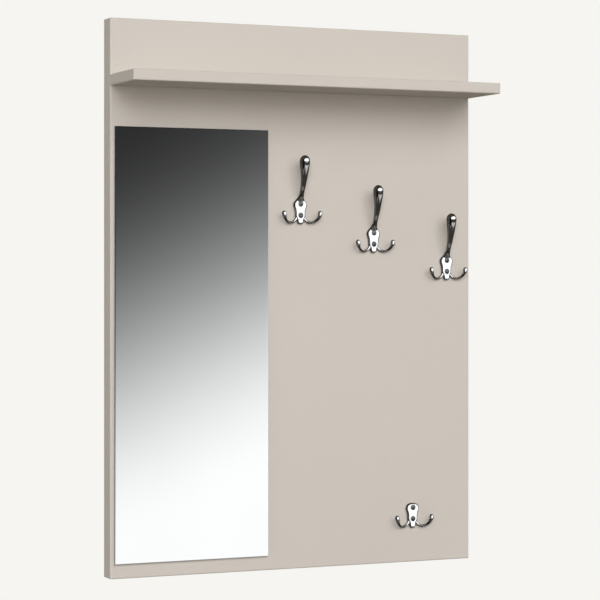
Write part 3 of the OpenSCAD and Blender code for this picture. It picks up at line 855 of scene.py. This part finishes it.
def screen(turn, left, right, low, high, soft, level):
    """A flat screen that stands square to a turn, from its edges in degrees, with a soft rim."""
    t = math.radians(turn)
    ahead = along_way(math.sin(t), -math.cos(t))
    beside = along_way(math.cos(t), math.sin(t))
    ahead = arithmetic(room, "MAXIMUM", ahead, 0.001)
    across = arithmetic(room, "DIVIDE", beside, ahead)
    up = arithmetic(room, "DIVIDE", parts_of_way["Z"], ahead)
    lit = level
    for value, first, last in ((across, left - turn, right - turn), (up, low, high)):
        start, end = math.tan(math.radians(first)), math.tan(math.radians(last))
        rise = soft_step(value, start - soft, start + soft, 0.0, 1.0)
        fall = soft_step(value, end - soft, end + soft, 1.0, 0.0)
        lit = arithmetic(room, "MULTIPLY", arithmetic(room, "MULTIPLY", lit, rise), fall)
    return lit


print("nodes for the directions:", len(room.nodes))


# %% [markdown]
# The mirror's room runs from dark above to white below, and its bands lean a little, so the
# left of the glass is darker than its right. Far below it dims again, which keeps the glass
# from looking like white paper when it is seen from above.

# %% The mirror's room
LEAN_FROM, LEAN_TO, LEAN = 15.0, 27.0, 3.1  # turns between which the bands shift by twice LEAN
DARK_ABOVE, WHITE_BELOW = 8.6, -6.2  # heights between which the dark turns white
DARKNESS, DARKEST, WHITEST = 3.0, 0.023, 1.045  # the fade's power, and its two ends
DIM_FROM, DIM_TO, DIMMEST = -9.0, -45.0, 0.35  # heights, and the share of light left

lean = spread(room, TURN, LEAN_FROM, LEAN_TO, -LEAN, LEAN)
slope = arithmetic(room, "SUBTRACT", HEIGHT, lean)
tone = arithmetic(room, "POWER", soft_step(slope, DARK_ABOVE, WHITE_BELOW, 0.0, 1.0), DARKNESS)
tone = spread(room, tone, 0.0, 1.0, DARKEST, WHITEST)
far_below = soft_step(HEIGHT, DIM_FROM, DIM_TO, 1.0, DIMMEST)
mirror_room = arithmetic(room, "MULTIPLY", tone, far_below)
print("the mirror's room runs from", DARKEST, "to", WHITEST)

# %% [markdown]
# The chrome's room is dark with a few flat screens. Two bright ones fill the front: the
# upper one gives the knobs their square highlight, and the lower one is what the flat
# plates look into, so they turn white. After a dark gap comes a low grey screen, which
# draws the grey sheen on the arms, and two dim ones soften its left end and pick out the
# arms' left edges. A pale ring on the floor, close to the panel's foot, lights the arms'
# necks, where they bend away from the plate. A black flag left of the front draws the black
# line beside each highlight. Bands of equal height would do for a ball, but the edge of a
# real, flat screen bends in a round arm, and that bend is what the eye knows. The dark gaps
# between the screens are what makes metal look like metal.

# %% The chrome's room
# Each screen: the turn it stands square to, its left, right, lower and upper edge, how soft
# its rim is, and how bright it is.
SCREENS = [
    (20.0, -35.0, 84.0, 1.0, 45.0, 0.06, 1.00),
    (12.0, -35.0, 56.0, -12.6, 3.0, 0.02, 1.00),
    (15.0, -12.0, 80.0, -27.0, -18.8, 0.02, 0.38),
    (-30.0, -52.0, -14.0, -27.2, -25.3, 0.02, 0.12),
    (-112.0, -136.0, -84.0, -36.0, -14.5, 0.02, 0.09),
]
DARK_ROOM, BLACK = (0.052, 0.045, 0.037, 1.0), (0.004, 0.004, 0.003, 1.0)
BRIGHT_SCREEN = (1.6, 1.6, 1.58, 1.0)
BLACK_FLAG = (-46.0, -66.0, -26.0, -25.0, 22.0, 0.06, 1.0)
RING_LEVEL, RING_TOP, RING_EDGE = 0.14, -43.5, -47.0  # its upper rim fades between two heights
FOOT_SHARE, FOOT_LOW, FOOT_HIGH = 0.2, -58.0, -48.0  # it dims to this share near the foot
LEFT_WALL = (-110.0, -80.0, 0.02, 0.0)  # from turn, to turn, and the levels there

gloom = blend_colours(room, screen(*BLACK_FLAG), DARK_ROOM, BLACK)
near_foot = soft_step(HEIGHT, FOOT_LOW, FOOT_HIGH, FOOT_SHARE, 1.0)
ring = soft_step(HEIGHT, RING_EDGE, RING_TOP, RING_LEVEL, 0.0)
ring = arithmetic(room, "MULTIPLY", near_foot, ring)
left_wall = spread(room, TURN, *LEFT_WALL)
brightness = arithmetic(room, "MAXIMUM", ring, left_wall)
for edges_and_level in SCREENS:
    brightness = arithmetic(room, "MAXIMUM", brightness, screen(*edges_and_level))
chrome_room = blend_colours(room, brightness, gloom, BRIGHT_SCREEN)
print("screens in the chrome's room:", len(SCREENS))

# %% Hang the rooms in the world
EVEN_LIGHT, LIGHT_FROM_BELOW = (0.183, 0.169, 0.141, 1.0), (0.42, 0.39, 0.33, 1.0)
BELOW_FROM, BELOW_TO = -30.0, -70.0  # heights

path = put(room, "ShaderNodeLightPath").outputs
shown = blend_colours(room, path["Is Singular Ray"], chrome_room, mirror_room)
below = soft_step(HEIGHT, BELOW_FROM, BELOW_TO, 0.0, 1.0)
even_light = blend_colours(room, below, EVEN_LIGHT, LIGHT_FROM_BELOW)
rays = blend_colours(room, path["Is Glossy Ray"], even_light, shown)
seen = blend_colours(room, path["Is Camera Ray"], rays, PAPER)
room.links.new(seen, room.nodes["Background"].inputs["Color"])
print("nodes in the world:", len(room.nodes))

# %% [markdown]
# ## Lamps
#
# Five very large soft lamps stand far off, so they light the top of the board as much as
# its foot. The front lamp stands near the camera, which keeps the hooks' shadows close
# beside their arms. The right lamp stands higher. Together they draw the shelf's shadow,
# which is dark right under the shelf and dies out within a hand's width. A low one stands
# almost square to the side: it keeps the board's left edge from falling dark and only
# grazes the front, so the shadow stays deep. The last two only serve who walks round the
# panel: they light its back and its right side. A level of 1 lights a face that looks
# straight at the lamp to its own colour, and the levels in front add up to about that with
# the even light of the world, so colours render as they are written.

# %% Set the lamps
LAMP_DISTANCE = 18.0


def soft_lamp(name, turn, height, level, wide, tall):
    """An area lamp that looks at the board from this direction.

    turn and height are degrees, and wide and tall are metres.
    """
    data = bpy.data.lights.new(name, "AREA")
    data.shape = "RECTANGLE"
    data.size, data.size_y = wide, tall
    data.energy = level * (math.pi * LAMP_DISTANCE) ** 2
    a, e = math.radians(turn), math.radians(height)
    towards = Vector((math.sin(a) * math.cos(e), -math.cos(a) * math.cos(e), math.sin(e)))
    lamp = bpy.data.objects.new(name, data)
    lamp.location = towards * LAMP_DISTANCE
    lamp.rotation_euler = towards.to_track_quat("Z", "Y").to_euler()
    lamp.visible_glossy = False
    bpy.context.scene.collection.objects.link(lamp)
    print(name, "level", level, "watts", round(data.energy))


soft_lamp("front_lamp", turn=-22.5, height=18.0, level=0.562, wide=9.6, tall=13.2)
soft_lamp("right_lamp", turn=15.0, height=31.0, level=0.420, wide=14.4, tall=13.2)
soft_lamp("side_lamp", turn=-85.0, height=-8.0, level=0.255, wide=9.6, tall=4.8)
soft_lamp("back_lamp", turn=180.0, height=8.0, level=0.50, wide=8.0, tall=8.0)
soft_lamp("far_right_lamp", turn=118.0, height=8.0, level=0.50, wide=6.0, tall=6.0)

# %% [markdown]
# ## View
#
# The plain Standard view shows colours as they are written.

# %% Finish
bpy.context.scene.view_settings.view_transform = "Standard"
